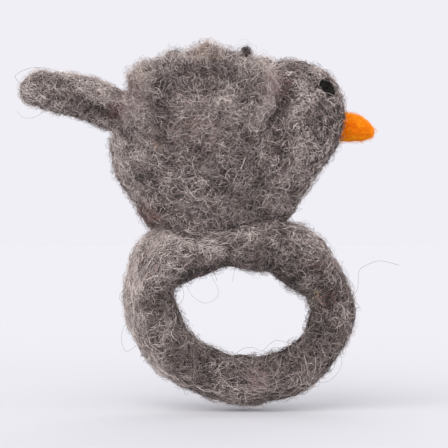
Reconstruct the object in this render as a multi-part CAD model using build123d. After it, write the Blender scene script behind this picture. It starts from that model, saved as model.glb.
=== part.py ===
"""A felted wool bird puppet that sits on a felted finger ring. Millimetres.

+X points out of the beak, +Z is up, and the ring's opening runs along Y. The origin is the centre
of that opening. Every piece is wool: firm cores inside, and a softer coat felted over each core.
"""

import os

from build123d import *

# ---- Driving dimensions -------------------------------------------------------------------
GAP = 0.1  # room left between two felted layers of one body
CLEARANCE = 0.3  # room left between pieces that move against each other
AMPLE = 200.0  # more than the whole puppet measures any way

# The ring: a rope of wool bent to an oval, as two end arcs and two flatter arcs.
RING_HALF_LENGTH = 27.1  # of the rope's centreline, along X
RING_HALF_HEIGHT = 20.0  # of the rope's centreline, along Z
RING_END_RADIUS = 16.0
ROPE_RADIUS = 7.1
ROPE_CORE_RADIUS = 4.9

# The band of wool that binds the bird to the top of the ring.
BAND_THICKNESS = 1.0
BAND_HALF_ANGLE = 31.0  # degrees each side of the top
BAND_END_ROOM = 1.0  # degrees past each end of the band for the ring inside it

# The bird's body, as level ellipses: (height, rear end, front end, half width).
BODY_LEVELS = [
    (21.5, -28.0, 13.0, 8.6),
    (27.0, -29.8, 15.0, 9.6),
    (32.0, -32.4, 17.4, 12.2),
    (38.5, -36.4, 21.2, 15.9),
    (46.0, -39.0, 26.4, 18.7),
    (53.0, -39.3, 29.0, 19.2),
    (60.0, -36.4, 28.0, 17.4),
    (66.0, -29.0, 25.0, 13.8),
    (69.5, -17.0, 20.0, 8.5),
]
HEAD_CENTRE = (15.6, 0, 59.6)
HEAD_RADIUS = 15.6
HEAD_HALF_WIDTH = 14.6
COAT_THICKNESS = 3.2
CORE_FLOOR = 33.5  # the body core stays above the ring's seat

# The seat: a channel under the bird that lies over the bound top of the ring.
SEAT_ROOM = 1.3  # between the band and the bird, so that the bird can tilt on the ring
SEAT_HALF_ANGLE = 89.0  # degrees each side of the top, so that the channel runs out past both ends

# The beak, a felted cone that droops a little, with a root inside the coat.
BEAK_BASE = (29.6, 0, 55.5)
BEAK_DROOP = 8.0  # degrees below the horizontal
BEAK_LENGTH = 10.6
BEAK_RADIUS = 4.6
BEAK_TIP_RADIUS = 1.6
BEAK_BULGE = (0.5, 0.84)  # where its side bulges: the share of its length, and of its base radius
BEAK_SIDE_SLOPES = (0.05, -1.1)  # of its side at the base, and where it meets the round tip
BEAK_TIP_MEETING = (0.6, 0.8)  # where they meet: along and out, as shares of the tip's radius
BEAK_ROOT_LENGTH = 5.0
BEAK_ROOT_RADIUS = 3.2

# The eyes, domed dots of wool on the sides of the head.
EYE_X, EYE_Z = 26.2, 67.4
EYE_RADIUS = 2.1
EYE_DEPTH = 0.8  # from the head's surface in to the ball's centre

# The tail, a rolled finger of felt that rises to the rear.
TAIL_HINGE = (-40.4, 0, 60.6)
TAIL_RISE = 13.0  # degrees above the horizontal
TAIL_LENGTH = 21.2  # from the hinge to the centre of the round tip
TAIL_ROOT_RADIUS = 6.4
TAIL_TIP_RADIUS = 5.3
TAIL_COAT = 2.0

# The wings, felt fans that stand up from the sides. A wing's inner face passes through its hinge.
WING_HINGE_Z = 50.0
WING_HINGE_Y = 19.4
WING_ROOT_RADIUS = 1.8
WING_ROOT_SPAN = (-20.0, 4.0)
WING_END_ROOM = 1.0  # past each end of the root in its groove
WING_THICKNESS = 3.6
WING_LEAN = 6.0  # degrees outwards
WING_LOBES = [  # the fan's edge above the hinge: rear to front, as (x, height above the hinge)
    (-31.5, 2.6),
    (-35.6, 11.0),
    (-34.4, 21.0),
    (-27.0, 26.2),
    (-18.5, 28.4),
    (-9.0, 30.2),
    (0.5, 27.8),
    (7.6, 23.8),
    (11.2, 17.0),
    (8.4, 7.0),
]


def arc_drop():
    """How far below the origin the centre of the ring's flatter top arc lies."""
    reach = RING_HALF_LENGTH - RING_END_RADIUS
    rise = RING_HALF_HEIGHT - RING_END_RADIUS
    return (reach**2 - rise**2) / (2 * rise)


ARC_DROP = arc_drop()


def rope(radius):
    """A closed rope of the given radius along the ring's oval centreline."""
    reach = RING_HALF_LENGTH - RING_END_RADIUS
    half_turn = 2 * Vector(reach, 0, ARC_DROP).get_angle(Vector(0, 0, 1))
    pieces = []
    for side in (1, -1):
        flat = Plane(origin=(0, 0, side * RING_HALF_HEIGHT), z_dir=(1, 0, 0)) * Circle(radius)
        hub = Axis((0, 0, -side * ARC_DROP), (0, 1, 0))
        pieces.append(revolve(flat.rotate(hub, -half_turn / 2), hub, half_turn))
        end = Plane(origin=(side * RING_HALF_LENGTH, 0, 0), z_dir=(0, 0, 1)) * Circle(radius)
        hub = Axis((side * reach, 0, 0), (0, 1, 0))
        pieces.append(revolve(end.rotate(hub, -(180 - half_turn) / 2), hub, 180 - half_turn))
    return pieces[0].fuse(*pieces[1:])


def top_arc(radius, half_angle):
    """A stretch of rope along the ring's top arc."""
    disc = Plane(origin=(0, 0, RING_HALF_HEIGHT), z_dir=(1, 0, 0)) * Circle(radius)
    hub = Axis((0, 0, -ARC_DROP), (0, 1, 0))
    return revolve(disc.rotate(hub, -half_angle), hub, 2 * half_angle)


def egg(inset):
    """The bird's body and head as one closed form, shrunk by inset all round."""
    low, high = BODY_LEVELS[0][0], BODY_LEVELS[-1][0]
    middle = (low + high) / 2
    shrink = (high - low - 2 * inset) / (high - low)
    levels = []
    for height, rear, front, half_width in BODY_LEVELS:
        z = middle + (height - middle) * shrink
        half_length = (front - rear) / 2 - inset
        ellipse = Ellipse(half_length, half_width - inset)
        levels.append(Pos((front + rear) / 2, 0, z) * ellipse)
    flatten = (HEAD_HALF_WIDTH - inset) / (HEAD_RADIUS - inset)
    head = scale(Sphere(HEAD_RADIUS - inset), by=(1, flatten, 1))
    return loft(levels) + Pos(*HEAD_CENTRE) * head


def beak(growth=0.0):
    """A cone with a round nose and a thinner root, turned about its own axis."""
    radius, tip = BEAK_RADIUS + growth, BEAK_TIP_RADIUS
    root = BEAK_ROOT_RADIUS + growth
    start = -BEAK_ROOT_LENGTH - growth
    nose = BEAK_LENGTH - tip
    with BuildPart() as made:
        with BuildSketch(Plane.XZ):
            with BuildLine():
                Polyline((nose + tip, 0), (start, 0), (start, root), (0, root), (0, radius))
                upper = Spline(
                    (0, radius),
                    (BEAK_LENGTH * BEAK_BULGE[0], radius * BEAK_BULGE[1]),
                    (nose + tip * BEAK_TIP_MEETING[0], tip * BEAK_TIP_MEETING[1]),
                    tangents=[(1, slope) for slope in BEAK_SIDE_SLOPES],
                )
                RadiusArc(upper @ 1, (nose + tip, 0), tip)
            make_face()
        revolve(axis=Axis.X)
    return Pos(*BEAK_BASE) * Rot(0, BEAK_DROOP, 0) * made.part


def eye_centre(side):
    """The centre of an eye's ball, just inside the head's surface. side is 1 for left, -1 for right."""
    out = Vector(EYE_X - HEAD_CENTRE[0], 0, EYE_Z - HEAD_CENTRE[2])
    reach = (1 - (out.length / HEAD_RADIUS) ** 2) ** 0.5 * HEAD_HALF_WIDTH
    surface = Vector(out.X, side * reach, out.Z)
    return Vector(*HEAD_CENTRE) + surface * (1 - EYE_DEPTH / surface.length)


def eye(side, growth=0.0):
    """A small ball of wool, half sunk in the head."""
    return Pos(*eye_centre(side)) * Sphere(EYE_RADIUS + growth)


def tail(inset=0.0):
    """A finger that tapers between two round ends, along its own axis from the hinge."""
    root, tip = TAIL_ROOT_RADIUS - inset, TAIL_TIP_RADIUS - inset
    finger = loft([Circle(root), Pos(0, 0, TAIL_LENGTH) * Circle(tip)])
    finger += Sphere(root) + Pos(0, 0, TAIL_LENGTH) * Sphere(tip)
    return Pos(*TAIL_HINGE) * Rot(0, TAIL_RISE - 90, 0) * finger


def wing(side):
    """A felt fan with a round root along its hinge, leaning outwards."""
    rear, front = WING_ROOT_SPAN
    with BuildPart() as fan:
        with BuildSketch(Plane.XZ):
            with BuildLine():
                edge = Spline((rear, 0), *WING_LOBES, (front, 0))
                Line(edge @ 1, edge @ 0)
            make_face()
        extrude(amount=-side * WING_THICKNESS)
    root = Pos((rear + front) / 2, 0, 0) * Rot(0, 90, 0) * Cylinder(WING_ROOT_RADIUS, front - rear)
    leaned = Rot(-side * WING_LEAN, 0, 0) * (fan.part + root)
    return Pos(0, side * WING_HINGE_Y, WING_HINGE_Z) * leaned


def wing_seat(side):
    """The groove in the bird's side that the wing's round root turns in."""
    rear, front = WING_ROOT_SPAN
    groove = Rot(0, 90, 0) * Cylinder(WING_ROOT_RADIUS + CLEARANCE, front - rear + 2 * WING_END_ROOM)
    return Pos((rear + front) / 2, side * WING_HINGE_Y, WING_HINGE_Z) * groove


def ring_pieces():
    core = rope(ROPE_CORE_RADIUS)
    coat = rope(ROPE_RADIUS) - rope(ROPE_CORE_RADIUS + GAP)
    band_inside = top_arc(ROPE_RADIUS + GAP, BAND_HALF_ANGLE + BAND_END_ROOM)
    band = top_arc(ROPE_RADIUS + GAP + BAND_THICKNESS, BAND_HALF_ANGLE) - band_inside
    return {"ring_core": core, "ring_coat": coat, "binding_band": band}


def bird_pieces():
    above = Plane.XY.offset(CORE_FLOOR) * extrude(Rectangle(AMPLE, AMPLE), AMPLE)
    cavity = egg(COAT_THICKNESS) & above
    core = egg(COAT_THICKNESS + GAP) & Pos(0, 0, GAP) * above
    band_radius = ROPE_RADIUS + GAP + BAND_THICKNESS
    coat = egg(0) - cavity - top_arc(band_radius + SEAT_ROOM, SEAT_HALF_ANGLE)
    coat -= Pos(*TAIL_HINGE) * Sphere(TAIL_ROOT_RADIUS + CLEARANCE)
    for side in (1, -1):
        coat -= wing_seat(side)
        coat -= eye(side, GAP)
    coat -= beak(GAP)
    core -= beak(GAP)
    return {
        "body_core": core,
        "body_coat": coat,
        "beak": beak(),
        "eye_left": eye(1),
        "eye_right": eye(-1),
    }


def main():
    pieces = {**ring_pieces(), **bird_pieces()}
    pieces["tail_core"] = tail(TAIL_COAT + GAP)
    pieces["tail_coat"] = tail() - tail(TAIL_COAT)
    pieces["wing_left"] = wing(1)
    pieces["wing_right"] = wing(-1)
    os.makedirs("parts", exist_ok=True)
    for name, shape in pieces.items():
        export_step(shape, f"parts/{name}.step")


main()
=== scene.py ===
"""The looks of a felted wool bird puppet on a finger ring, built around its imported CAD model.

The frame is the CAD model's: +X out of the beak, +Z up, and the ring's opening along Y. Blender works in
metres, and the shapes here are written in millimetres and scaled by MM. Each felted piece is a closed skin
with a procedural wool material, and curly hairs, made as closed strands of mesh, lie along the skin.
"""

import math

import bpy
import numpy as np
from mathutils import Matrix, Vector, noise
from mathutils.bvhtree import BVHTree


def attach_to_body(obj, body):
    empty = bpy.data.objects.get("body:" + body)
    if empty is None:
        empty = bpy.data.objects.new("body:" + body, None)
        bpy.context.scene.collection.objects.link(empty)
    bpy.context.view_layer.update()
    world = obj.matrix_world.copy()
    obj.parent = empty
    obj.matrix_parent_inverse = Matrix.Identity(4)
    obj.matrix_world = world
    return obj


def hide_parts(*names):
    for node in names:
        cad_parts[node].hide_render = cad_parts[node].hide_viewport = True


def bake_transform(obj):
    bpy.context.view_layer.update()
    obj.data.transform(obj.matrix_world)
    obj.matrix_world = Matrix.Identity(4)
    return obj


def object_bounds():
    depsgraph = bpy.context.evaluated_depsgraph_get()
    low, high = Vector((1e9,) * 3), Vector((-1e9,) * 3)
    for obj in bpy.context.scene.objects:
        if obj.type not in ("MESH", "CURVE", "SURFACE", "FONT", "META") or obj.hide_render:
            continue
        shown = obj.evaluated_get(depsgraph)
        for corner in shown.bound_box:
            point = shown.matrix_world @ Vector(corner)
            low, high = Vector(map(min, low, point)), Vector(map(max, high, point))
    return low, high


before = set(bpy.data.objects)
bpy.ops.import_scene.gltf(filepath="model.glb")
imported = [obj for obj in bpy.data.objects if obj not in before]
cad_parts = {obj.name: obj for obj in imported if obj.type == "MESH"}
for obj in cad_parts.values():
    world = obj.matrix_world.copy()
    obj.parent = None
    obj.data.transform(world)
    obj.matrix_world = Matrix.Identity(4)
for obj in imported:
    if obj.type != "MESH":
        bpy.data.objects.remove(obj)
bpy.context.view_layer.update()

MM = 0.001


def placed(name, data):
    """A new object in the scene."""
    made = bpy.data.objects.new(name, data)
    bpy.context.scene.collection.objects.link(made)
    return made


def shaded(name, settings):
    """A new material, and its shader with some of its inputs set."""
    material = bpy.data.materials.new(name)
    material.use_nodes = True
    shader = material.node_tree.nodes["Principled BSDF"]
    for socket, value in settings.items():
        shader.inputs[socket].default_value = value
    return material, shader


# ---- Camera, lights and floor ----
VIEW_WIDTH = 134.4 * MM  # what the picture spans at y = 0
VIEW_CENTRE = (-5.1 * MM, 26.4 * MM)  # x and z
LENS, SENSOR = 135.0, 36.0  # focal length and sensor width, in millimetres
CLIP_START = 0.01
FLOOR_RADIUS = 4.0
FLOOR_SIDES = 96
STUDIO_COLOUR = (0.871, 0.863, 0.921)  # of the backdrop, which also lights the puppet from all round
PAPER_GAIN = 0.973  # because the low suns' wide discs light the floor more than their centres alone would


def make_camera():
    data = bpy.data.cameras.new("camera")
    data.lens = LENS
    data.sensor_width = SENSOR
    data.clip_start = CLIP_START
    camera = placed("camera", data)
    distance = VIEW_WIDTH * LENS / SENSOR
    camera.location = (VIEW_CENTRE[0], -distance, VIEW_CENTRE[1])
    camera.rotation_euler = (math.pi / 2, 0, 0)
    bpy.context.scene.camera = camera


SUNS = [  # name, direction towards the light, strength, width of its disc in degrees, colour
    ("key", (-0.5, -0.6, 0.7), 1.45, 60, (1.0, 0.98, 0.955)),
    ("front", (0.15, -1.0, 0.2), 1.35, 60, (1.0, 0.985, 0.97)),
    ("fill", (0.9, -0.45, 0.08), 1.1, 70, (1.0, 0.985, 0.975)),
    ("back", (0.1, 0.9, 0.45), 1.0, 60, (1.0, 0.99, 0.98)),
]


def make_lights():
    for name, towards, strength, width, colour in SUNS:
        data = bpy.data.lights.new(name, "SUN")
        data.energy = strength
        data.angle = math.radians(width)
        data.color = colour
        light = placed(name, data)
        light.rotation_euler = Vector(towards).to_track_quat("Z", "Y").to_euler()
    world = bpy.data.worlds.new("studio")
    world.use_nodes = True
    world.node_tree.nodes["Background"].inputs["Color"].default_value = (*STUDIO_COLOUR, 1)
    bpy.context.scene.world = world


def paper_colour():
    """The floor's own colour that looks, once lit, like the backdrop, so no horizon shows."""
    made = []
    for channel, backdrop in enumerate(STUDIO_COLOUR):
        sunlight = sum(strength * colour[channel] * Vector(towards).normalized().z / math.pi
                       for _, towards, strength, _, colour in SUNS)
        made.append(PAPER_GAIN * backdrop / (backdrop + sunlight))
    return made


def make_floor():
    """A round pale floor, wide enough to meet the backdrop at the horizon."""
    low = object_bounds()[0][2]
    points = [(0, 0, low)]
    for step in range(FLOOR_SIDES):
        turn = step / FLOOR_SIDES * math.tau
        points.append((FLOOR_RADIUS * math.cos(turn), FLOOR_RADIUS * math.sin(turn), low))
    mesh = bpy.data.meshes.new("floor")
    faces = [(0, 1 + step, 1 + (step + 1) % FLOOR_SIDES) for step in range(FLOOR_SIDES)]
    mesh.from_pydata(points, [], faces)
    floor = placed("floor", mesh)
    settings = {"Base Color": (*paper_colour(), 1), "Roughness": 1.0, "Specular IOR Level": 0.0}
    mesh.materials.append(shaded("paper", settings)[0])


# ---- Wool materials ----
PATCH_SCALE, STRAND_SCALE, GRAIN_SCALE = 130.0, 900.0, 2600.0  # of felt's textures, per metre
STRAND_WEIGHT, GRAIN_WEIGHT = 0.28, 0.35  # how much they count for the tone, next to the patches
DARK_STOP, MIDDLE_STOP, LIGHT_STOP = 0.62, 0.85, 1.0  # where the sum of the textures has each tone
RELIEF = 0.00035  # metres that the bumps stand up


def wool(name, dark, middle, light, sheen=0.12):
    """Felt: patches of tone, a web of finer strands over them, and a rough bumpy surface."""
    material, shader = shaded(name, {"Roughness": 0.95, "Specular IOR Level": 0.08, "Sheen Weight": sheen,
                                     "Sheen Roughness": 0.6})
    nodes, links = material.node_tree.nodes, material.node_tree.links
    place = nodes.new("ShaderNodeTexCoord")

    def texture(scale, detail, kind="FBM", distortion=0.0):
        made = nodes.new("ShaderNodeTexNoise")
        made.noise_type = kind
        made.inputs["Scale"].default_value = scale
        made.inputs["Detail"].default_value = detail
        made.inputs["Distortion"].default_value = distortion
        links.new(place.outputs["Object"], made.inputs["Vector"])
        return made.outputs["Fac"]

    def summed(a, b, factor):
        """a + b * factor."""
        made = nodes.new("ShaderNodeMath")
        made.operation = "ADD"
        links.new(a, made.inputs[0])
        scaled = nodes.new("ShaderNodeMath")
        scaled.operation = "MULTIPLY"
        scaled.inputs[1].default_value = factor
        links.new(b, scaled.inputs[0])
        links.new(scaled.outputs[0], made.inputs[1])
        return made.outputs[0]

    patches = texture(PATCH_SCALE, 3.0)
    strands = texture(STRAND_SCALE, 4.0, "RIDGED_MULTIFRACTAL", 2.5)
    grain = texture(GRAIN_SCALE, 2.0, distortion=1.0)
    tone = summed(patches, strands, STRAND_WEIGHT)
    tone = summed(tone, grain, GRAIN_WEIGHT)
    ramp = nodes.new("ShaderNodeValToRGB")
    ramp.color_ramp.elements[0].position = DARK_STOP
    ramp.color_ramp.elements[0].color = (*dark, 1)
    ramp.color_ramp.elements[1].position = LIGHT_STOP
    ramp.color_ramp.elements[1].color = (*light, 1)
    ramp.color_ramp.elements.new(MIDDLE_STOP).color = (*middle, 1)
    links.new(tone, ramp.inputs["Fac"])
    links.new(ramp.outputs["Color"], shader.inputs["Base Color"])
    height = summed(strands, grain, 0.5)
    relief = nodes.new("ShaderNodeBump")
    relief.inputs["Strength"].default_value = 0.8
    relief.inputs["Distance"].default_value = RELIEF
    links.new(height, relief.inputs["Height"])
    links.new(relief.outputs["Normal"], shader.inputs["Normal"])
    return material


def hair(name, colour, sheen):
    """One tint of single hairs. The felt's tone comes from many tints side by side."""
    settings = {"Base Color": (*colour, 1), "Roughness": 0.7, "Specular IOR Level": 0.12}
    return shaded(name, {**settings, "Sheen Weight": sheen})[0]


HAIR_COLOURS = {
    "white": (0.80, 0.71, 0.665),
    "pale": (0.47, 0.40, 0.375),
    "rose": (0.36, 0.265, 0.255),
    "mid": (0.26, 0.215, 0.20),
    "brown": (0.18, 0.125, 0.095),
    "dark": (0.11, 0.087, 0.081),
    "black": (0.035, 0.027, 0.026),
    "russet": (0.26, 0.145, 0.13),
    "ginger": (0.42, 0.29, 0.20),
    "cream": (0.80, 0.68, 0.46),
    "amber": (1.0, 0.42, 0.01),
    "orange": (0.95, 0.24, 0.002),
    "rust": (0.74, 0.12, 0.001),
    "soot": (0.035, 0.033, 0.028),
    "ink": (0.009, 0.008, 0.007),
}
GREY_HAIRS = {  # each tint's share, from the palest to the darkest, and three that only PATCHES use
    "white": 0.09, "pale": 0.21, "rose": 0.07, "mid": 0.23, "brown": 0.04,
    "dark": 0.21, "black": 0.15, "russet": 0.0, "ginger": 0.0, "cream": 0.0,
}
HEAD_HAIRS = {"white": 0.35, "rose": 0.25, "black": 0.4}
ORANGE_HAIRS = {"amber": 0.34, "orange": 0.54, "rust": 0.12}
BLACK_HAIRS = {"soot": 0.2, "ink": 0.8}
PATCHES = [  # x, z and radius of a patch, its tint, and the share of its hairs that have it
    (-10.0, 77.5, 5.0, "ginger", 0.22), (-30.5, 68.0, 4.5, "ginger", 0.15),
    (-28.0, 29.0, 4.5, "russet", 0.40), (-37.0, 60.0, 3.5, "russet", 0.40),
    (9.0, 66.0, 5.0, "rose", 0.45), (-32.0, 62.0, 6.0, "rose", 0.35),
    (-14.0, 55.5, 2.0, "ginger", 0.35), (-24.3, 48.6, 1.6, "ginger", 0.35),
    (4.8, -18.9, 3.6, "rose", 0.50), (21.9, 5.4, 1.3, "cream", 0.60),
    (-13.0, 55.0, 8.0, "rose", 0.25), (26.0, 4.0, 4.0, "black", 0.22),
    (24.0, -8.0, 4.0, "black", 0.15), (-10.5, -15.0, 3.0, "black", 0.3),
    (-27.0, 15.0, 3.0, "russet", 0.25), (13.0, 66.0, 4.0, "russet", 0.15),
    (25.0, 4.0, 3.5, "russet", 0.25), (22.5, 12.5, 3.0, "russet", 0.20),
]

GREY_SHEEN = 0.08
tints = {name: hair(f"hair_{name}", colour, GREY_SHEEN if name in GREY_HAIRS else 0.0)
         for name, colour in HAIR_COLOURS.items()}


# ---- Skins: closed felted forms ----
def stacked(rings, closed=False):
    """Points and faces of a tube through rings of points, closed on itself or capped."""
    rings = np.asarray(rings, float)
    rows, sides = rings.shape[:2]
    faces = []
    for row in range(rows if closed else rows - 1):
        a, b = row * sides, (row + 1) % rows * sides
        for side in range(sides):
            after = (side + 1) % sides
            faces.append((a + side, a + after, b + after, b + side))
    if not closed:
        faces.append(tuple(range(sides))[::-1])
        faces.append(tuple((rows - 1) * sides + side for side in range(sides)))
    return rings.reshape(-1, 3), faces


def tube(line, radii, sides, closed=False):
    """A round tube along a line that lies in the plane y = 0."""
    line = np.asarray(line, float)
    if closed:
        along = np.roll(line, -1, 0) - np.roll(line, 1, 0)
    else:
        along = np.gradient(line, axis=0)
    along /= np.linalg.norm(along, axis=1)[:, None]
    out = np.stack([along[:, 2], np.zeros(len(line)), -along[:, 0]], 1)
    turn = np.linspace(0, math.tau, sides, endpoint=False)
    ring = out[:, None] * np.cos(turn)[:, None] + np.array([0, 1, 0]) * np.sin(turn)[:, None]
    return stacked(line[:, None] + ring * np.asarray(radii)[:, None, None], closed)


def ellipsoid(centre, radii, sides=40):
    """Points and faces of an ellipsoid with its poles cut flat."""
    rise = np.linspace(-math.pi / 2, math.pi / 2, sides // 2 + 1)[1:-1]
    turn = np.linspace(0, math.tau, sides, endpoint=False)
    rings = np.stack([
        np.cos(rise)[:, None] * np.cos(turn) * radii[0],
        np.cos(rise)[:, None] * np.sin(turn) * radii[1],
        np.repeat(np.sin(rise)[:, None], sides, 1) * radii[2],
    ], 2)
    return stacked(rings + np.asarray(centre, float))


def joined(name, *forms):
    """One object of several forms, each given as its points in millimetres and its faces."""
    points, faces = [], []
    for form_points, form_faces in forms:
        start = sum(len(p) for p in points)
        points.append(form_points)
        faces += [tuple(start + i for i in face) for face in form_faces]
    mesh = bpy.data.meshes.new(name)
    mesh.from_pydata((np.concatenate(points) * MM).tolist(), [], faces)
    mesh.validate()
    return placed(name, mesh)


def applied(obj):
    """Replaces the object's mesh by what its modifiers make of it."""
    graph = bpy.context.evaluated_depsgraph_get()
    mesh = bpy.data.meshes.new_from_object(obj.evaluated_get(graph))
    obj.modifiers.clear()
    obj.data = mesh
    mesh.name = obj.name
    return obj


def felted(obj, voxel, smoothing):
    """Fuses overlapping forms into one closed skin with soft creases between them."""
    fuse = obj.modifiers.new("fuse", "REMESH")
    fuse.mode = "VOXEL"
    fuse.voxel_size = voxel * MM
    soften = obj.modifiers.new("soften", "SMOOTH")
    soften.factor = 0.5
    soften.iterations = smoothing
    return applied(obj)


def points_of(mesh):
    """Where a mesh's points are, in millimetres."""
    flat = np.empty(len(mesh.vertices) * 3)
    mesh.vertices.foreach_get("co", flat)
    return flat.reshape(-1, 3) / MM


def normals_of(mesh):
    flat = np.empty(len(mesh.vertices) * 3)
    mesh.vertex_normals.foreach_get("vector", flat)
    return flat.reshape(-1, 3)


def push(obj, distances):
    """Moves each point along its normal by a distance in millimetres."""
    mesh = obj.data
    moved = points_of(mesh) + normals_of(mesh) * np.asarray(distances)[:, None]
    mesh.vertices.foreach_set("co", (moved * MM).ravel())
    mesh.update()


NOISE_STEP = (7.3, 3.1, 5.7)  # how far the noise moves from one seed to the next


def roughen(obj, waves, seed):
    """Adds lumps: each wave is (length, height) in millimetres."""
    shift = Vector([seed * part for part in NOISE_STEP])
    total = np.zeros(len(obj.data.vertices))
    for length, height in waves:
        total += height * np.array([noise.noise(Vector(p / length) + shift) for p in points_of(obj.data)])
    push(obj, total)


def distance_to_path(points, path):
    """How far points in the plane y = 0, given as (x, z), are from a path of straight runs."""
    path = np.asarray(path, float)
    best = np.full(len(points), np.inf)
    for a, b in zip(path, path[1:]):
        run = b - a
        t = np.clip(((points - a) @ run) / (run @ run), 0, 1)
        best = np.minimum(best, np.linalg.norm(points - a - t[:, None] * run, axis=1))
    return best


def toned(points, tones):
    """How much darker the hairs are near some paths: each tone is (path, width, amount)."""
    flat = points[:, [0, 2]]
    return sum(amount * np.exp(-((distance_to_path(flat, path) / width) ** 2))
               for path, width, amount in tones)


def combed_along(paths, width):
    """What weights places near some paths, and the direction of their nearest run."""
    def wanted(points):
        nearest = np.min([distance_to_path(points[:, [0, 2]], path) for path in paths], axis=0)
        return np.exp(-((nearest / width) ** 2))

    def flow(point):
        flat = np.array([[point[0], point[2]]])
        runs = [(a, b) for path in paths for a, b in zip(path, path[1:])]
        a, b = min(runs, key=lambda run: distance_to_path(flat, run)[0])
        return np.array([b[0] - a[0], 0.0, b[1] - a[1]]) / math.dist(a, b)

    return {"wanted": wanted, "flow": flow}


SIDEWAYS_GAIN = 1.6  # grooves are at full depth wherever the skin faces mostly along Y


def groove(obj, path, depth, width):
    """Presses a soft groove, or a ridge where depth is below 0, into both sides of a skin along a path."""
    mesh = obj.data
    facing = np.clip(np.abs(normals_of(mesh)[:, 1]) * SIDEWAYS_GAIN, 0, 1)
    near = distance_to_path(points_of(mesh)[:, [0, 2]], path)
    push(obj, -depth * np.exp(-((near / width) ** 2)) * facing)


def smooth_path(keys, count, closed=False):
    """Points along a Catmull-Rom curve through the keys."""
    keys = np.asarray(keys, float)
    if closed:
        keys = np.vstack([keys[-1], keys, keys[:2]])
    else:
        keys = np.vstack([2 * keys[0] - keys[1], keys, 2 * keys[-1] - keys[-2]])
    spans = len(keys) - 3
    made = []
    for s in np.linspace(0, spans, count, endpoint=not closed):
        i = min(int(s), spans - 1)
        t = s - i
        a, b, c, d = keys[i:i + 4]
        made.append(0.5 * (2 * b + (c - a) * t + (2 * a - 5 * b + 4 * c - d) * t**2
                           + (3 * b - a - 3 * c + d) * t**3))
    return np.array(made)


def tapered(name, line, radii, tip_radii, count, sides=32):
    """A tube whose radius follows its line, which is given as (x, z), with a round tip at its end."""
    line = smooth_path([(x, 0, z) for x, z in line], count)
    radii = smooth_path([(r, 0, 0) for r in radii], count)[:, 0]
    return joined(name, tube(line, radii, sides=sides), ellipsoid(line[-1], tip_radii))


# ---- Hairs ----
POINTS_PER_HAIR = 7
POINTS_PER_WISP = 32
HAIRS_PER_LOCK = 4
LOCK_SPREAD = 0.5  # how far a lock's roots lie from each other
LOCK_SCATTER, HAIR_SCATTER = 0.35, 0.3  # how much a lock's heading differs from the flow, and a hair's more
HAIR_CURL, WANDER = 0.8, 0.5  # a hair's own curl, and how much it changes on the way, as shares of curl
FREE_SHARE = 0.6  # of the strays have a free end, and the rest arch back
LEAST_LIFT = 0.3  # of the strays, as a share of stray_lift
END_DIP = 0.35  # how far both ends dip into the felt
TUFT_SIZE, TUFT_GAIN, TUFT_LEAST = 3.2, 1.1, 0.35  # where hairs grow thicker, and thinner


def surface_of(obj):
    """A skin's points, and the corners of its triangles."""
    mesh = obj.data
    mesh.calc_loop_triangles()
    corners = np.empty(len(mesh.loop_triangles) * 3, np.int32)
    mesh.loop_triangles.foreach_get("vertices", corners)
    return points_of(mesh), corners.reshape(-1, 3)


def spots_on(points, triangles, count, rng, wanted):
    """Random points over a surface, thicker in tufts, and weighted by what wanted gives each place."""
    a, b, c = (points[triangles[:, i]] for i in range(3))
    middle = (a + b + c) / 3
    tufts = np.array([noise.noise(Vector(p / TUFT_SIZE)) for p in middle])
    area = np.linalg.norm(np.cross(b - a, c - a), axis=1)
    weight = area * np.clip(1 + TUFT_GAIN * tufts, TUFT_LEAST, None)
    if wanted is not None:
        weight = weight * wanted(middle)
    chosen = rng.choice(len(triangles), count, p=weight / weight.sum())
    u, v = np.sqrt(rng.random(count)), rng.random(count)
    u, v = u[:, None], v[:, None]
    return (1 - u) * a[chosen] + u * (1 - v) * b[chosen] + u * v * c[chosen]


def laid_along(direction, up):
    """The part of a direction along a skin, at unit length."""
    return (direction - up * direction.dot(up)).normalized()


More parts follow.
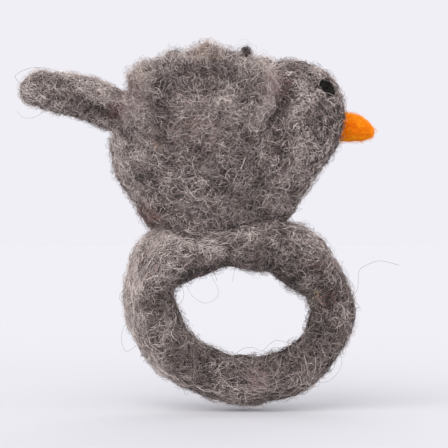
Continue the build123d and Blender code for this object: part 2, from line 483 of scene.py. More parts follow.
def grown(skin, count, seed, length=(2.6, 6.2), flow=None, flow_share=0.5, stray_share=0.12,
          stray_lift=1.4, curl=22.0, rise=(0.0, 0.40), weave=0.18, wanted=None):
    """Centrelines of hairs that lie along a skin, in locks of a few that run together.

    rise is how far off the skin a hair lies, and weave how far it dips and climbs along its length.
    curl is how many degrees it turns in a millimetre. Strays leave the skin by up to stray_lift. The
    third result is how high each hair lies.
    """
    rng = np.random.default_rng(seed)
    points, triangles = surface_of(skin)
    tree = BVHTree.FromPolygons(points.tolist(), triangles.tolist())
    locks = max(1, count // HAIRS_PER_LOCK)
    starts = spots_on(points, triangles, locks, rng, wanted)
    lines = np.empty((locks * HAIRS_PER_LOCK, POINTS_PER_HAIR, 3))
    ups = np.empty_like(lines)
    heights = np.empty(len(lines))
    for lock, start in enumerate(starts):
        if flow is not None and rng.random() < flow_share:
            heading = np.asarray(flow(start), float) * rng.choice([-1, 1])
            heading = heading + rng.normal(0, LOCK_SCATTER, 3)
        else:
            heading = rng.normal(0, 1, 3)
        lock_curl = rng.normal(0, curl)
        for member in range(HAIRS_PER_LOCK):
            at, up, _, _ = tree.find_nearest(Vector(start + rng.normal(0, LOCK_SPREAD, 3)))
            ahead = laid_along(Vector(heading + rng.normal(0, HAIR_SCATTER, 3)), up)
            step = rng.uniform(*length) / (POINTS_PER_HAIR - 1)
            stray = rng.random() < stray_share
            free = stray and rng.random() < FREE_SHARE
            level = rng.uniform(*rise)
            lift = rng.uniform(LEAST_LIFT, 1.0) * stray_lift if stray else 0.0
            phase = rng.uniform(0, math.tau)
            bend = lock_curl + rng.normal(0, curl * HAIR_CURL)
            index = lock * HAIRS_PER_LOCK + member
            heights[index] = (level - rise[0]) / (rise[1] - rise[0])
            for k in range(POINTS_PER_HAIR):
                t = k / (POINTS_PER_HAIR - 1)
                off = level + weave * math.sin(math.tau * t + phase) - END_DIP * (2 * t - 1) ** 6
                off += lift * (t**1.6 if free else math.sin(math.pi * t))
                lines[index, k] = at + up * off
                ups[index, k] = up
                bend += rng.normal(0, curl * WANDER)
                angle = math.radians(bend) * step
                side = up.cross(ahead)
                ahead = ahead * math.cos(angle) + side * math.sin(angle)
                at, up, _, _ = tree.find_nearest(at + ahead * step)
                ahead = laid_along(ahead, up)
    return lines, ups, heights


LOCK_TINT_SHARE = 0.4  # of the hairs have their lock's tint
DRIFT_SIZE, DRIFT_DETAIL = 8.0, 3.5  # of a slow noise that the tints follow
DRIFT_GAIN, DEPTH_PAINTED_SHADE = 0.26, 0.26  # how much paler its crests are, and how much paler the upper hairs are, a painted shade on the deeper ones
PATCH_EDGE = (0.5, 1.2)  # how far out a patch's hairs reach, as shares of its radius


def chosen_tints(lines, heights, palette, rng, shade):
    """Which tint each hair has: locks share one, deep hairs are darker as painted shade, and patches differ.
    """
    count = len(lines)
    lock_pick = np.repeat(rng.random(count // HAIRS_PER_LOCK + 1), HAIRS_PER_LOCK)[:count]
    pick = np.where(rng.random(count) < LOCK_TINT_SHARE, lock_pick, rng.random(count))
    middles = lines[:, POINTS_PER_HAIR // 2]
    drift = np.array([noise.noise(Vector(p / DRIFT_SIZE)) + 0.5 * noise.noise(Vector(p / DRIFT_DETAIL))
                      for p in middles])
    pick = pick - DRIFT_GAIN * drift - DEPTH_PAINTED_SHADE * (heights - 0.5)
    pick = pick + (shade(middles) if callable(shade) else shade)
    shares = np.array(list(palette.values()))
    tint = np.searchsorted(np.cumsum(shares / shares.sum()), np.clip(pick, 0, 0.9999))
    names = list(palette)
    for x, z, radius, name, share in PATCHES:
        if name in names:
            reach = radius * rng.uniform(*PATCH_EDGE, count)
            near = np.hypot(middles[:, 0] - x, middles[:, 2] - z) < reach
            tint[near & (rng.random(count) < share)] = names.index(name)
    return tint


def strands(name, lines, ups, tint, palette, radius, rng):
    """Closed three-sided strands along centrelines, pointed at both ends."""
    count, n = lines.shape[:2]
    along = np.gradient(lines, axis=1)
    along /= np.linalg.norm(along, axis=2)[..., None] + 1e-9
    side = np.cross(along, ups)
    side /= np.linalg.norm(side, axis=2)[..., None] + 1e-9
    over = np.cross(side, along)
    thick = rng.uniform(*radius, count)[:, None, None]
    inner = slice(1, n - 1)
    rings = []
    for corner in range(3):
        turn = corner * math.tau / 3
        around = side[:, inner] * math.cos(turn) + over[:, inner] * math.sin(turn)
        rings.append(lines[:, inner] + thick * around)
    points = np.concatenate([lines[:, :1], np.stack(rings, 2).reshape(count, -1, 3), lines[:, -1:]], 1)
    per = points.shape[1]
    pattern = []
    for corner in range(3):
        after = (corner + 1) % 3
        pattern.append((0, 1 + after, 1 + corner))
        pattern.append((per - 1, per - 4 + corner, per - 4 + after))
        for row in range(n - 3):
            a, b = 1 + row * 3, 4 + row * 3
            pattern.append((a + corner, a + after, b + after))
            pattern.append((a + corner, b + after, b + corner))
    faces = (np.array(pattern)[None] + (np.arange(count) * per)[:, None, None]).reshape(-1, 3)
    mesh = bpy.data.meshes.new(name)
    mesh.vertices.add(count * per)
    mesh.vertices.foreach_set("co", (points * MM).ravel())
    mesh.loops.add(faces.size)
    mesh.loops.foreach_set("vertex_index", faces.astype(np.int32).ravel())
    mesh.polygons.add(len(faces))
    mesh.polygons.foreach_set("loop_start", np.arange(0, faces.size, 3, dtype=np.int32))
    mesh.polygons.foreach_set("material_index", np.repeat(tint, len(pattern)).astype(np.int32))
    mesh.polygons.foreach_set("use_smooth", np.ones(len(faces), bool))
    for tint_name in palette:
        mesh.materials.append(tints[tint_name])
    mesh.update(calc_edges=True)
    return placed(name, mesh)


MAX_HAIRS_IN_PIECE = 6000
HAIR_SHARE = 1.0
SHORT_HAIR_RADIUS = (0.034, 0.078)
TINT_SEED = 5000  # tints are drawn apart from the hairs' lines
FUZZ = {"radius": (0.02, 0.04), "stray_share": 1.0}  # fine loose hairs, paler than those below them: painted light, for thin hairs lit through from behind
FUZZ_PAINTED_LIGHT = 0.2
STROKE = {  # how long, nearly straight hairs lie that are combed along a path
    "flow_share": 1.0, "curl": 3.5, "length": (3.5, 7.0), "rise": (0.15, 0.45), "stray_share": 0.05,
    "radius": (0.032, 0.07),
}
STROKE_SHADE = -0.08


def coat(name, skin, count, seed, slot, attach, palette=GREY_HAIRS, radius=(0.038, 0.09), shade=0.0,
         clear_of=(), **how):
    """Covers a skin with hairs, in as many pieces as their size needs, and attaches each.

    shade is how much darker the hairs are, as a number or a function of their places. clear_of lists
    balls, as (centre, radius), that no hair may enter.
    """
    count = int(count * HAIR_SHARE)
    pieces = math.ceil(count / MAX_HAIRS_IN_PIECE)
    for part in range(pieces):
        rng = np.random.default_rng(seed + part + TINT_SEED)
        lines, ups, heights = grown(skin, count // pieces, seed + part, **how)
        tint = chosen_tints(lines, heights, palette, rng, shade)
        kept = np.ones(len(lines), bool)
        for centre, reach in clear_of:
            kept &= (np.linalg.norm(lines - np.asarray(centre), axis=2) > reach).all(axis=1)
        piece = strands(f"{name}_{part + 1}" if pieces > 1 else name, lines[kept], ups[kept], tint[kept],
                        palette, radius, rng)
        attach(piece)


WISP_SEED = 10
WISP_RADIUS = (0.035, 0.05)


def wisps(name, paths, attach):
    """Single long hairs that stand clear of the felt, through points given as (x, y, z)."""
    lines = np.array([smooth_path(path, POINTS_PER_WISP) for path in paths])
    ups = np.zeros_like(lines) + np.array([0.0, -1.0, 0.0])
    rng = np.random.default_rng(WISP_SEED)
    tint = np.full(len(lines), list(GREY_HAIRS).index("dark"))
    piece = strands(name, lines, ups, tint, GREY_HAIRS, WISP_RADIUS, rng)
    attach(piece)


# ---- The ring ----
RING_KEYS = [  # centreline x and z, and the rope's radius: a hand-rolled rope, thickest under the bird
    (27.3, -1.0, 5.9), (23.0, -11.0, 5.9), (14.6, -17.8, 6.2), (3.0, -20.5, 6.4), (-9.9, -18.1, 6.6),
    (-19.9, -11.2, 6.8), (-26.4, -0.5, 7.3), (-27.0, 8.2, 7.0), (-22.4, 16.0, 8.6), (-13.0, 18.7, 7.7),
    (-7.0, 20.4, 7.2), (0.5, 20.8, 7.1), (11.4, 19.4, 7.7), (17.7, 15.3, 8.4), (23.7, 10.0, 6.8),
    (26.6, 4.5, 6.4),
]
RING_HALF_LENGTH, RING_HALF_HEIGHT = 27.0, 20.0  # of the rope's centreline, about
RING_BIND_GROOVE = [(-4.2, 21), (-3.6, 17), (-3.2, 13)]
RING_COMBED_RIDGE = [(-19, 22.5), (-12, 20.5), (-6, 18.5)]
RING_TONES = [  # path, width, and how much darker the wool is along it
    ([(-15.5, 11.8), (-9.5, 13.0)], 1.2, 0.5),
    ([(22, 13.5), (25, 7), (26, 1.5)], 3.0, 0.16),
    # painted shade in the groove where the bird is bound on
    ([(-4.0, 22), (-3.6, 17), (-3.2, 13)], 1.0, 0.5),
    (RING_COMBED_RIDGE, 2.2, -0.22),
    # painted light along the outer rim on the left, the side towards the key light
    ([(-32.5, 14), (-33, 4), (-31, -6), (-24, -17)], 2.4, -0.18),
]
RING_DARKER, RING_INNER_PAINTED_SHADE = 0.13, 0.32  # darker all over, and painted shade that darkens it more towards the opening
RING_SLANT_PAINTED_SHADE = 0.003  # painted shade away from the key light, for each millimetre to the right, and each one down


def ring_flow(point):
    """Along the rope: at right angles to the way out from the ring's middle, and about 1 long."""
    out = np.array([point[0] / RING_HALF_LENGTH, point[2] / RING_HALF_HEIGHT])
    return np.array([-out[1] * RING_HALF_LENGTH, 0.0, out[0] * RING_HALF_HEIGHT]) / 24.0


def ring_reach(points):
    """How far out places on the ring are: about 1 on the rope's centreline."""
    return np.hypot(points[:, 0] / RING_HALF_LENGTH, points[:, 2] / RING_HALF_HEIGHT)


def ring_tone_and_painted_light(points):
    """The rope is darker all over; painted shade darkens its inner side and right, and painted light makes
    its outer rim and left paler.
    """
    inner = RING_INNER_PAINTED_SHADE * (1.0 - ring_reach(points))
    across, down = RING_SLANT_PAINTED_SHADE * points[:, 0], RING_SLANT_PAINTED_SHADE * points[:, 2]
    return RING_DARKER + inner + across - down + toned(points, RING_TONES)


def ring_rim(points):
    """Weights the outer rim on the left and below, where the rope's wool is combed."""
    outer = np.clip((ring_reach(points) - 0.98) * 5, 0, 1)
    return outer * np.clip(0.35 - points[:, 0] / 60 - points[:, 2] / 40, 0.05, 1)


RING_WISPS = [  # the long hair at the front, those in the opening, and two behind the rim
    [(31, -4, 2), (34.5, -5, 7), (35, -5.5, 12.5), (38.7, -5.5, 14.9), (42, -5, 15.4), (47.5, -4, 14)],
    [(-17, -3, 9.5), (-14.5, -3.5, 5), (-11, -4, 2.9), (-7.6, -4, 4.2), (-6.9, -3.5, 7), (-9.5, -3, 12)],
    [(-2.5, -3, -13), (0.6, -3.5, -10.7), (3.6, -4, -10.4), (6.3, -4, -11.3), (10.2, -3.5, -8.3),
     (16, -3, -9.6)],
    [(-1.6, -3, 14.5), (-2.2, -3.5, 11.5), (-2.7, -3.5, 9.0)],
    [(9.2, -3, 12.6), (10, -3.5, 10.6), (11.4, -4, 10.2), (11.7, -4, 11.6), (10.6, -4, 12.4)],
    [(10.8, -3, 11.6), (12, -3.5, 9.2), (13.6, -4, 8.6), (15, -3.5, 9.8)],
    [(1.4, -3, 13.8), (2, -3.5, 11.8), (3.4, -4, 11.2), (4.7, -3.5, 12.2), (4.2, -3, 13.8)],
    [(-18.6, -3, 9.0), (-17.2, -3.5, 6.5), (-17.3, -4, 4.0), (-19, -3.5, 2.0)],
    [(16.2, -3, 9.2), (17.6, -3.5, 6.4), (18.8, -4, 3.6), (21, -3.5, 2.0)],
    [(-11, -3, 12), (-9, -3.5, 12.2), (-7.6, -4, 10.8), (-7.2, -3.5, 9.4)],
    [(20.5, -3, -1.0), (18.6, -4, -3.0), (18.4, -4, -4.8), (20, -3, -6.4)],
    [(-31, 2, -10), (-34.5, 2.5, -12), (-36, 3, -9), (-35.5, 3, -5), (-33, 2, -1)],
    [(20, 3, -20), (25, 3.5, -21.5), (29, 4, -19), (30.5, 3.5, -15), (29, 2, -11)],
]


def make_ring(material):
    keys = smooth_path(RING_KEYS, 180, closed=True)
    line = np.stack([keys[:, 0], 0 * keys[:, 0], keys[:, 1]], 1)
    skin = joined("ring_skin", tube(line, keys[:, 2], closed=True, sides=40))
    felted(skin, voxel=0.6, smoothing=4)
    roughen(skin, [(14, 0.9), (5, 0.6), (2.4, 0.35), (1.4, 0.2)], seed=1)
    groove(skin, RING_BIND_GROOVE, depth=1.0, width=1.0)
    skin.data.materials.append(material)
    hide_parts("ring_coat")
    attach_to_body(skin, "ring")

    def attach(piece):
        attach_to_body(piece, "ring")

    coat("ring_hairs", skin, 26000, 100, "ring_wool", attach, flow=ring_flow, flow_share=0.45,
         stray_share=0.10, stray_lift=1.2, shade=ring_tone_and_painted_light, wanted=lambda points: 1 - 0.6 * ring_rim(points))
    coat("ring_combed", skin, 6000, 130, "ring_wool", attach, flow=ring_flow, flow_share=1.0, curl=3.0,
         length=(6.0, 12.0), rise=(0.15, 0.6), stray_share=0.1, wanted=ring_rim,
         shade=lambda points: ring_tone_and_painted_light(points) - 0.04)
    coat("ring_strokes", skin, 600, 140, "ring_wool", attach, shade=STROKE_SHADE,
         **combed_along([RING_COMBED_RIDGE], 2.5), **STROKE)
    wisps("ring_wisps", RING_WISPS, attach)
    coat("ring_fuzz", skin, 7000, 150, "ring_wool", attach, stray_lift=2.2, length=(3.0, 6.5), curl=18.0,
         shade=lambda points: ring_tone_and_painted_light(points) - FUZZ_PAINTED_LIGHT, **FUZZ)


# ---- The bird's body ----
BODY_LEVELS = [  # level ellipses: height, rear end, front end, half width
    (20.6, -20.0, -6.0, 5.6),
    (22.6, -23.6, 2.0, 7.8),
    (25.0, -26.8, 8.6, 9.2),
    (28.5, -29.2, 13.5, 10.6),
    (34.0, -32.2, 17.2, 13.6),
    (40.5, -36.0, 21.7, 17.0),
    (47.0, -37.8, 26.3, 18.8),
    (53.0, -38.0, 29.0, 19.0),
    (60.0, -35.2, 27.0, 17.2),
    (66.0, -28.5, 22.0, 13.2),
    (70.0, -17.0, 14.0, 7.0),
]
HEAD_CENTRE = (15.2, 0, 59.5)
HEAD_RADII = (15.3, 14.4, 15.3)
BODY_LOWER_EDGE = [(-26.5, 25.5), (-17, 22.0), (-4, 22.8), (9, 27.0), (13, 28.5)]
BREAST_RIDGE = [(16.5, 60), (15.9, 51), (14.7, 42)]


def body_form():
    """Points and faces of the body without its head."""
    levels = smooth_path(BODY_LEVELS, 60)
    turn = np.linspace(0, math.tau, 64, endpoint=False)
    rings = []
    for height, rear, front, half_width in levels:
        x = (rear + front) / 2 + (front - rear) / 2 * np.cos(turn)
        rings.append(np.stack([x, half_width * np.sin(turn), np.full(len(turn), height)], 1))
    return stacked(rings)


def bend_at_neck(piece):
    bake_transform(piece)


BREAST_FROM, BREAST_TOP = 6, 62  # the x behind it and the z above it
BODY_MIDDLE = -5  # the x where its lower edge is lowest


def body_flow(point):
    """Hairs lie level round the body, follow its lower edge, and run up the breast."""
    if point[0] > BREAST_FROM and point[2] < BREAST_TOP:
        return np.array([0.25, 0.0, 1.0])
    return np.array([1.0, 0.0, 0.012 * (point[0] - BODY_MIDDLE)])


BODY_TONES = [
    # painted shade: in the crease along the lower edge, and in the valley between the wing's front edge and
    # the head
    (BODY_LOWER_EDGE, 1.5, 0.35),
    ([(12.5, 64), (10.5, 57), (8, 51)], 3.0, 0.35),
    (BREAST_RIDGE, 1.4, -0.12),
    ([(-36, 50), (-35, 44), (-31, 36)], 3.0, -0.15),
    ([(22, 62), (27, 50), (22, 42)], 5.0, 0.06),
    ([(8, 74), (16, 73), (22, 66)], 4.0, 0.08),
    ([(19, 53), (17, 42)], 6.0, 0.16),
]
BODY_GROOVES = [  # path, depth and width
    ([(12.5, 65), (9.8, 57), (7, 50), (3.5, 45)], 1.8, 3.0),
    ([(-30, 44), (-25.5, 38), (-21, 33)], 0.9, 1.6),
    (BODY_LOWER_EDGE, 1.0, 1.6),
    ([(15.6, 58), (16.4, 50), (16.6, 43)], -0.9, 2.2),
]
BODY_STROKES = [
    BREAST_RIDGE, [(8.7, 36), (10.5, 29)], [(11.5, 36), (13.5, 30)],
    [(-10, 22.5), (0, 22.4)], [(-21, 40), (-3, 43), (9, 49)], [(6.5, 51.5), (14.5, 57.5)],
]
BODY_DARKER = 0.07
BEAK_BALL, TAIL_BALL = ((34.6, 0, 55.4), 4.6), ((-40.4, 0, 60.4), 5.5)  # no body hairs here


def body_tone_and_painted_shade(points):
    """Painted shade darkens the creases, and ridges of combed wool are paler."""
    return BODY_DARKER + toned(points, BODY_TONES)


def on_head(points):
    """Weights the head and breast, more the further forward and up they are."""
    return np.clip((points[:, 0] - 4) / 6, 0, 1) * np.clip((points[:, 2] - 34) / 8, 0, 1)


def make_body(material):
    skin = joined("body_skin", body_form(), ellipsoid(HEAD_CENTRE, HEAD_RADII))
    felted(skin, voxel=0.6, smoothing=14)
    roughen(skin, [(16, 1.0), (6, 0.6), (2.6, 0.35), (1.4, 0.2)], seed=2)
    for path, depth, width in BODY_GROOVES:
        groove(skin, path, depth, width)
    skin.data.materials.append(material)
    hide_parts("body_coat")
    bend_at_neck(skin)
    eyes = [((EYE_PLACE[0] - 0.2, side * 8.4, EYE_PLACE[1]), 2.6) for side in (1, -1)]
    clear_of = [*eyes, BEAK_BALL, TAIL_BALL]
    coat("body_hairs", skin, 40000, 200, "body_wool", bend_at_neck, flow=body_flow, flow_share=0.3,
         stray_share=0.07, stray_lift=1.0, curl=16.0, clear_of=clear_of, shade=body_tone_and_painted_shade)
    coat("head_hairs", skin, 4000, 230, "body_wool", bend_at_neck, palette=HEAD_HAIRS, length=(1.8, 4.2),
         rise=(0.2, 0.5), stray_share=0.1, stray_lift=0.8, radius=(0.036, 0.08), clear_of=clear_of,
         wanted=on_head)
    coat("body_strokes", skin, 1400, 240, "body_wool", bend_at_neck, shade=STROKE_SHADE,
         clear_of=clear_of, **combed_along(BODY_STROKES, 1.5), **STROKE)
    coat("body_fuzz", skin, 8000, 250, "body_wool", bend_at_neck, stray_lift=2.1, length=(3.0, 6.0),
         curl=14.0, clear_of=clear_of, shade=lambda points: body_tone_and_painted_shade(points) - FUZZ_PAINTED_LIGHT, **FUZZ)
    return skin


# ---- The wings ----
WING_EDGE = [  # (x, z) round the fan, from the lower rear corner over the top
    (-30.4, 50.6), (-33.2, 58.0), (-33.2, 65.0), (-31.8, 68.9), (-28.6, 71.6), (-25.8, 72.3), (-21.6, 74.7),
    (-16.5, 75.1), (-10.3, 77.3), (-5.0, 76.4), (-1.8, 75.9), (1.8, 72.2), (5.2, 72.2), (8.4, 70.2),
    (9.6, 66.0), (8.0, 60.0), (4.0, 56.0), (-4.0, 53.0), (-13.0, 49.5), (-22.0, 47.6),
]
LEFT_WING_TUFTS = [  # x, top z and half width of each tuft on its rim
    (-26.5, 76.4, 3.6), (-20.7, 80.4, 3.6), (-14.0, 79.2, 4.4), (-6.0, 79.2, 4.4), (0.9, 77.0, 3.4),
    (1.6, 81.8, 1.7), (7.2, 78.0, 3.4),
]
# painted shade on two tufts of the left wing's rim, which stand in shade
LEFT_WING_PAINTED_SHADE = [([(1.6, 83), (1.6, 75.5)], 1.7, 0.8), ([(-20.7, 81), (-20.7, 78)], 2.0, 0.3)]
TUFT_HALF_THICKNESS, TUFT_HALF_HEIGHT = 1.6, 5.5
WING_CENTRE = (-11.0, 63.5)
WING_HALF_THICKNESS = 2.3
WING_FOOT = (-4.6, 33.6, 19.0)  # middle, half length and half width of the body's ellipse there
WING_FREE = (-6, 18.6, 52)  # x, y and z that the free part curves round and leans out from
WING_CURVE, WING_LEAN = 0.0062, 0.10
WING_RISE_FROM, WING_RISE = 50, 16  # the z where the foot ends, and how far the change takes
WING_SHARES = np.concatenate([np.linspace(0.08, 0.9, 10), np.array([0.95, 0.985, 1.0])])  # centre to edge
FUZZ_TOP = 79.5  # no loose hairs start above it


def wing_middle(x, z):
    """How far out the middle of a wing's thickness lies.

    Its foot wraps round the body's ellipse, and above that it is slightly curved and leans out.
    """
    middle, half_length, half_width = WING_FOOT
    along = (np.asarray(x) - middle) / half_length
    foot = half_width * np.sqrt(np.clip(1 - along**2, 0.1, 1)) + 0.3
    free_x, free_y, free_z = WING_FREE
    free = free_y - WING_CURVE * (np.asarray(x) - free_x) ** 2 + WING_LEAN * (z - free_z)
    return foot + (free - foot) * np.clip((np.asarray(z) - WING_RISE_FROM) / WING_RISE, 0, 1)


def wing_form(side):
    """Points and faces of a fan with two domed faces that meet at its edge."""
    edge = smooth_path(WING_EDGE, 96, closed=True)
    centre = np.array(WING_CENTRE)
    rings = []
    for face in (1, -1):
        for share in (WING_SHARES if face > 0 else WING_SHARES[::-1][1:]):
            flat = centre + (edge - centre) * share
            out = wing_middle(flat[:, 0], flat[:, 1]) + face * WING_HALF_THICKNESS * (1 - share**5) ** 0.5
            rings.append(np.stack([flat[:, 0], side * out, flat[:, 1]], 1))
    return stacked(rings)


WING_FOOT_TOP = 61


def wing_flow(point):
    """Hairs fan out to the rim, and over the wing's foot they sweep up towards the breast."""
    if point[2] < WING_FOOT_TOP:
        return np.array([1.0, 0.0, 0.38])
    out = np.array([point[0] - WING_CENTRE[0], 0.0, point[2] - WING_CENTRE[1] + 6])
    return out / (np.linalg.norm(out) + 1e-6)


def wing_rim(points):
    """Weights the places near the fan's free edge."""
    reach = np.hypot((points[:, 0] - WING_CENTRE[0]) / 22.5, (points[:, 2] - WING_CENTRE[1]) / 13.0)
    return np.clip((reach - 0.7) * 4, 0, 1) * (points[:, 2] > 56)


WING_GROOVES = [
    ([(-19, 61.5), (-12, 62.5), (-3, 60.5)], -0.8, 1.3),
    ([(-19, 59), (-11, 59.5), (-3, 57.5)], 0.7, 1.2),
    ([(-25, 70), (-20, 68), (-16, 64)], 0.6, 1.5),
]
WING_FRONT_RIDGE = [(8, 70), (11, 67), (10, 63), (5, 58.5)]
WING_TONES = [
    (WING_FRONT_RIDGE, 1.4, -0.22),
    ([(-24, 60), (-21, 55), (-19, 52)], 3.0, 0.12),
    ([(-16, 71), (-10, 70), (-3, 71)], 3.0, 0.03),
]
WING_STROKES = [
    [(3, 74.5), (6, 74), (8, 71.5)], WING_FRONT_RIDGE,
    [(-17.5, 60.7), (-13.5, 61.4), (-9, 59.8), (-5, 59)], [(-12.3, 54.3), (-7, 57.9), (-0.3, 59.5)],
    [(-10.5, 48.5), (-2.7, 51.5), (3, 55.2)], [(-27, 49.7), (-17, 51)],
]


def wing_tone_and_painted_light(points):
    """Painted light makes the rim paler than the middle of the fan."""
    return 0.01 - 0.15 * wing_rim(points) + toned(points, WING_TONES)


def make_wing(name, side, material, seed):
    """A fan whose foot wraps round the body and whose upper part leans out. The left one has tufts along its
    rim.
    """

    def bend_at_root(piece):
        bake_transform(piece)

    def shade(points):
        # the left wing's two tufts get painted shade
        return wing_tone_and_painted_light(points) + (toned(points, LEFT_WING_PAINTED_SHADE) if side > 0 else 0)

    tufts = []
    for x, top, half_width in LEFT_WING_TUFTS if side > 0 else []:
        centre = (x, wing_middle(x, top), top - TUFT_HALF_HEIGHT)
        tufts.append(ellipsoid(centre, (half_width, TUFT_HALF_THICKNESS, TUFT_HALF_HEIGHT), sides=16))
    skin = joined(f"{name}_skin", wing_form(side), *tufts)
    felted(skin, voxel=0.55, smoothing=4)
    roughen(skin, [(9, 0.9), (4, 0.6), (2.0, 0.35), (1.3, 0.2)], seed=seed)
    for path, depth, width in WING_GROOVES:
        groove(skin, path, depth, width)
    skin.data.materials.append(material)
    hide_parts("wing_left" if side > 0 else "wing_right")
    bend_at_root(skin)
    coat(f"{name}_hairs", skin, 15000, 300 + 50 * seed, "wing_wool", bend_at_root, flow=wing_flow,
         flow_share=0.3, stray_share=0.10, stray_lift=1.1, curl=14.0, length=(2.2, 5.0),
         radius=SHORT_HAIR_RADIUS, shade=shade)
    coat(f"{name}_strokes", skin, 1000, 340 + 50 * seed, "wing_wool", bend_at_root,
         shade=STROKE_SHADE, **combed_along(WING_STROKES, 1.0), **STROKE)
    # its loose hairs are paler: painted light, for thin hairs lit through from behind
    coat(f"{name}_fuzz", skin, 4200, 320 + 50 * seed, "wing_wool", bend_at_root, flow=wing_flow,
         flow_share=0.5, stray_lift=2.8, length=(3.0, 6.0), curl=14.0,
         wanted=lambda points: (0.15 + wing_rim(points)) * (points[:, 2] < FUZZ_TOP),
         shade=lambda points: shade(points) - 0.15, **FUZZ)


# ---- The tail ----
TAIL_LINE = [(-34.5, 58.6), (-38.5, 60.7), (-44.0, 63.5), (-50.0, 65.3), (-56.0, 65.5), (-60.3, 66.8)]
TAIL_RADII = [5.2, 5.6, 5.8, 5.6, 5.3, 4.5]
TAIL_TIP_RADII = (5.2, 4.6, 4.5)
TAIL_FLOW = (-1.0, 0.0, 0.3)
TAIL_SWIRL = [(-62.2, 65.4), (-60.0, 64.2), (-57.8, 65.0), (-57.2, 67.0), (-58.6, 68.2), (-61, 68.0)]
TAIL_GROOVES = [
    ([(-57.5, 63.6), (-51, 64.0), (-47, 62.8), (-41.5, 60.2), (-35.5, 58.6)], 0.7, 1.3),
    ([(-63, 69.2), (-58, 69.6), (-53, 68.8), (-50.4, 66.8)], 0.5, 1.0),
    ([(-60.5, 66.6), (-59, 66.0)], 0.5, 1.0),
]
TAIL_TONES = [
    # painted shade: in the creases along the tail and at its root
    ([(-57.5, 63.6), (-51, 64.0), (-47, 62.8), (-41.5, 60.2), (-36, 58.6)], 1.5, 0.24),
    ([(-45, 61.0), (-40, 59.4), (-36, 58.4)], 1.7, 0.42),
    ([(-62.0, 69.4), (-58, 69.6), (-53, 68.6), (-49.5, 66.8)], 1.0, 0.28),
    ([(-60.1, 66.5), (-59.2, 66.2)], 0.9, 0.4),
    (TAIL_SWIRL, 0.7, -0.15),
    # a painted highlight along the top
    ([(-47, 67.5), (-41, 65.4)], 2.4, -0.2),
]
TAIL_STROKES = [
    TAIL_SWIRL, [(-50, 68.4), (-44, 67), (-39.5, 64.5)], [(-48, 66.6), (-43, 65), (-39, 62.5)],
]
TAIL_WISPS = [
    [(-66, 1, 68), (-67.8, 1, 71), (-63, 0, 73.2), (-57, -1, 72.8), (-52, -1, 70.5)],
    [(-58, -2, 61), (-61, -2, 58.6), (-65, -1, 58.2), (-67.5, 0, 60.5)],
]


def tail_tone_and_painted_light(points):
    """Paler above than below and dark in the creases along it, which is painted light and shade, with a pale
    swirl at its end.
    """
    middle = np.interp(points[:, 0], *np.array(TAIL_LINE)[::-1].T)
    return 0.02 * (middle - points[:, 2]) - 0.10 + toned(points, TAIL_TONES)


def make_tail(material):
    skin = tapered("tail_skin", TAIL_LINE, TAIL_RADII, TAIL_TIP_RADII, count=40)
    felted(skin, voxel=0.7, smoothing=5)
    roughen(skin, [(8, 0.7), (3.5, 0.45), (2.0, 0.25)], seed=5)
    for path, depth, width in TAIL_GROOVES:
        groove(skin, path, depth, width)
    skin.data.materials.append(material)
    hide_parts("tail_coat")

    def bend_at_root(piece):
        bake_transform(piece)

    bend_at_root(skin)

    coat("tail_hairs", skin, 8000, 500, "tail_wool", bend_at_root, flow=lambda point: TAIL_FLOW,
         flow_share=0.6, stray_share=0.10, stray_lift=1.0, curl=13.0, radius=SHORT_HAIR_RADIUS,
         shade=tail_tone_and_painted_light)
    coat("tail_strokes", skin, 700, 510, "tail_wool", bend_at_root, shade=-0.12,
         **combed_along(TAIL_STROKES, 0.8), **STROKE)
    wisps("tail_wisps", TAIL_WISPS, bend_at_root)
    coat("tail_fuzz", skin, 2200, 520, "tail_wool", bend_at_root, stray_lift=1.8, length=(3.0, 6.0),
         curl=16.0, shade=lambda points: tail_tone_and_painted_light(points) - FUZZ_PAINTED_LIGHT, **FUZZ)


# ---- The beak and the eyes ----
BEAK_LINE = [(26.5, 56.2), (31.0, 55.6), (34.6, 55.0), (37.4, 54.2)]
BEAK_RADII = [3.9, 4.15, 3.75, 2.7]
BEAK_TIP_RADII = (2.6, 2.4, 2.3)
BEAK_FLOW = (1.0, 0.0, -0.2)


def make_beak(material):
    skin = tapered("beak_skin", BEAK_LINE, BEAK_RADII, BEAK_TIP_RADII, count=24, sides=28)
    felted(skin, voxel=0.4, smoothing=6)
    roughen(skin, [(4, 0.3), (1.6, 0.12)], seed=6)
    skin.data.materials.append(material)
    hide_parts("beak")
    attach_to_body(skin, "bird")

    def beak_shade(points):
        """Yellower along the upper and lower edges, and redder between them at the root."""
        middle = np.interp(points[:, 0], *np.array(BEAK_LINE).T)
        return 0.25 - 0.16 * np.abs(points[:, 2] - middle) - 0.02 * (points[:, 0] - BEAK_LINE[1][0])

    def attach(piece):
        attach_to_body(piece, "bird")

    coat("beak_hairs", skin, 2200, 600, "beak_wool", attach, palette=ORANGE_HAIRS,
         flow=lambda point: BEAK_FLOW, flow_share=0.7, length=(2.0, 4.0), rise=(0.0, 0.16), weave=0.06,
         stray_share=0.05, stray_lift=0.4, radius=(0.03, 0.06), shade=beak_shade)
    # its loose hairs are paler: painted light, for thin hairs lit through from behind
    coat("beak_fuzz", skin, 900, 620, "beak_wool", attach, palette=ORANGE_HAIRS, length=(1.5, 3.0),
         stray_share=1.0, stray_lift=0.8, radius=(0.014, 0.03), shade=-0.4)


EYE_PLACE = (25.65, 66.3)
EYE_RADII = (2.45, 2.75)
EYE_HEIGHT, EYE_DEPTH = 0.75, 1.4  # of its dome, and how many times deeper its underside is
EYE_LIFT = 0.15
EYE_SIDES, EYE_ROWS = 36, 7
EYE_POINT = math.radians(33)  # how far up from the way back its outline comes to a soft point
EYE_POINT_REACH = 0.45  # how far that point stands out, as a share of the radius


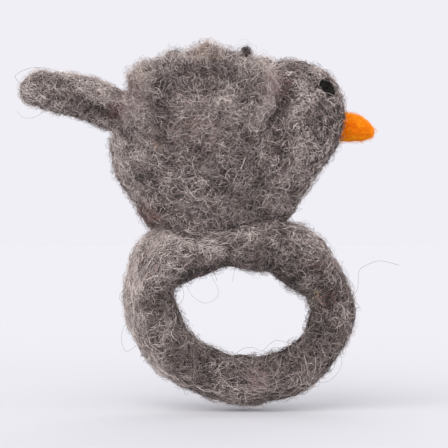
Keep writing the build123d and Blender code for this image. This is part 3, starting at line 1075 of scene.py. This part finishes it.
def make_eye(name, side, body_skin, material, seed):
    """A dot of wool that follows the head's curve, slightly domed."""
    points, triangles = surface_of(body_skin)
    tree = BVHTree.FromPolygons(points.tolist(), triangles.tolist())
    x, z = EYE_PLACE
    at, up, _, _ = tree.ray_cast(Vector((x, side * 40.0, z)), Vector((0, -side, 0)))
    across = up.cross(Vector((0, 0, 1))).normalized()
    above = across.cross(up).normalized() * -1
    rng = np.random.default_rng(seed)
    outline = 1 + 0.06 * rng.normal(0, 1, EYE_SIDES)
    turns = np.arange(EYE_SIDES) / EYE_SIDES * math.tau
    point = math.pi + EYE_POINT if side > 0 else -EYE_POINT
    outline += EYE_POINT_REACH * np.clip(np.cos(turns - point), 0, 1) ** 10
    rings = []
    for row in range(2 * EYE_ROWS):
        top = row < EYE_ROWS
        share = (row + 0.4) / EYE_ROWS if top else (2 * EYE_ROWS - row - 0.6) / EYE_ROWS
        height = EYE_HEIGHT * math.sqrt(max(0.0, 1 - share**2)) * (1 if top else -EYE_DEPTH)
        ring = []
        for turn, reach in zip(turns, outline):
            out = share * reach
            aside, over = EYE_RADII[0] * out * math.cos(turn), EYE_RADII[1] * out * math.sin(turn)
            base, base_up, _, _ = tree.find_nearest(at + across * aside + above * over)
            ring.append(tuple(base + base_up * (height + EYE_LIFT)))
        rings.append(ring)
    skin = joined(f"{name}_skin", stacked(rings))
    felted(skin, voxel=0.25, smoothing=3)
    skin.data.materials.append(material)
    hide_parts(name)
    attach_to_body(skin, "bird")
    coat(f"{name}_hairs", skin, 500, seed, "eye_wool", lambda piece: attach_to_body(piece, "bird"),
         palette=BLACK_HAIRS, length=(1.4, 2.8), rise=(0.0, 0.16), weave=0.05, stray_share=0.08,
         stray_lift=0.4, radius=(0.04, 0.07))


# ---- The wool bound round the neck ----
BAND_CENTRE, BAND_HALF_LENGTH, BAND_HALF_WIDTH = -6.9, 18.8, 7.6
BAND_HEIGHT = 22.6  # of its lowest places, at the sides
BAND_END_RISE, BAND_SLOPE = 3.3, 1.7  # how much higher its ends are, and how much more so the front one
BAND_HALF_THICKNESS, BAND_HALF_HEIGHT = 0.9, 2.2


def make_binding(material):
    """Strands wound over the crease between bird and ring, on a thin band of felt."""
    turn = np.linspace(0, math.tau, 72, endpoint=False)
    line = np.stack([
        BAND_CENTRE + BAND_HALF_LENGTH * np.cos(turn),
        BAND_HALF_WIDTH * np.sin(turn),
        BAND_HEIGHT + BAND_END_RISE * np.cos(turn) ** 2 + BAND_SLOPE * np.cos(turn),
    ], 1)
    out = np.stack([np.cos(turn), np.sin(turn), 0 * turn], 1)
    around = np.linspace(0, math.tau, 14, endpoint=False)[:, None]
    up = np.array([0, 0, BAND_HALF_HEIGHT])
    rings = [p + o * BAND_HALF_THICKNESS * np.cos(around) + up * np.sin(around) for p, o in zip(line, out)]
    skin = joined("binding_skin", stacked(rings, closed=True))
    felted(skin, voxel=0.5, smoothing=3)
    skin.data.materials.append(material)
    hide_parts("binding_band")
    bend_at_neck(skin)

    def round_the_neck(point):
        return np.array([-point[1] * 2.6, point[0] - BAND_CENTRE, 0.0]) / 12

    coat("binding_hairs", skin, 3000, 700, "band_wool", bend_at_neck, flow=round_the_neck, flow_share=0.85,
         length=(5.0, 9.0), stray_share=0.05, stray_lift=0.7, curl=6.0)


def make_cores(material):
    """The firm cores stay as the CAD model has them."""
    for name in ("ring_core", "body_core", "tail_core"):
        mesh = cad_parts[name].data
        mesh.materials.clear()
        mesh.materials.append(material)


# ---- The whole scene ----
FELTS = {  # dark, middle and light tone
    "grey": ((0.030, 0.024, 0.021), (0.11, 0.088, 0.080), (0.27, 0.225, 0.205)),
    "pale": ((0.036, 0.029, 0.026), (0.13, 0.105, 0.096), (0.31, 0.26, 0.24)),
    "dim": ((0.022, 0.018, 0.016), (0.075, 0.06, 0.054), (0.2, 0.165, 0.15)),
    "orange": ((0.70, 0.13, 0.001), (0.92, 0.23, 0.002), (1.0, 0.36, 0.008)),
    "black": ((0.003, 0.003, 0.0025), (0.007, 0.0065, 0.006), (0.02, 0.019, 0.017)),
}


def main():
    make_camera()
    make_lights()
    bpy.context.scene.view_settings.view_transform = "Standard"
    grey, pale, dim = (wool(f"{name}_felt", *FELTS[name]) for name in ("grey", "pale", "dim"))
    orange, black = (wool(f"{name}_felt", *FELTS[name], sheen=0.0) for name in ("orange", "black"))
    make_cores(dim)
    make_ring(grey)
    body = make_body(grey)
    make_binding(dim)
    make_wing("left_wing", 1, pale, 3)
    make_wing("right_wing", -1, pale, 4)
    make_tail(pale)
    make_beak(orange)
    make_eye("eye_left", 1, body, black, 800)
    make_eye("eye_right", -1, body, black, 810)
    make_floor()


main()
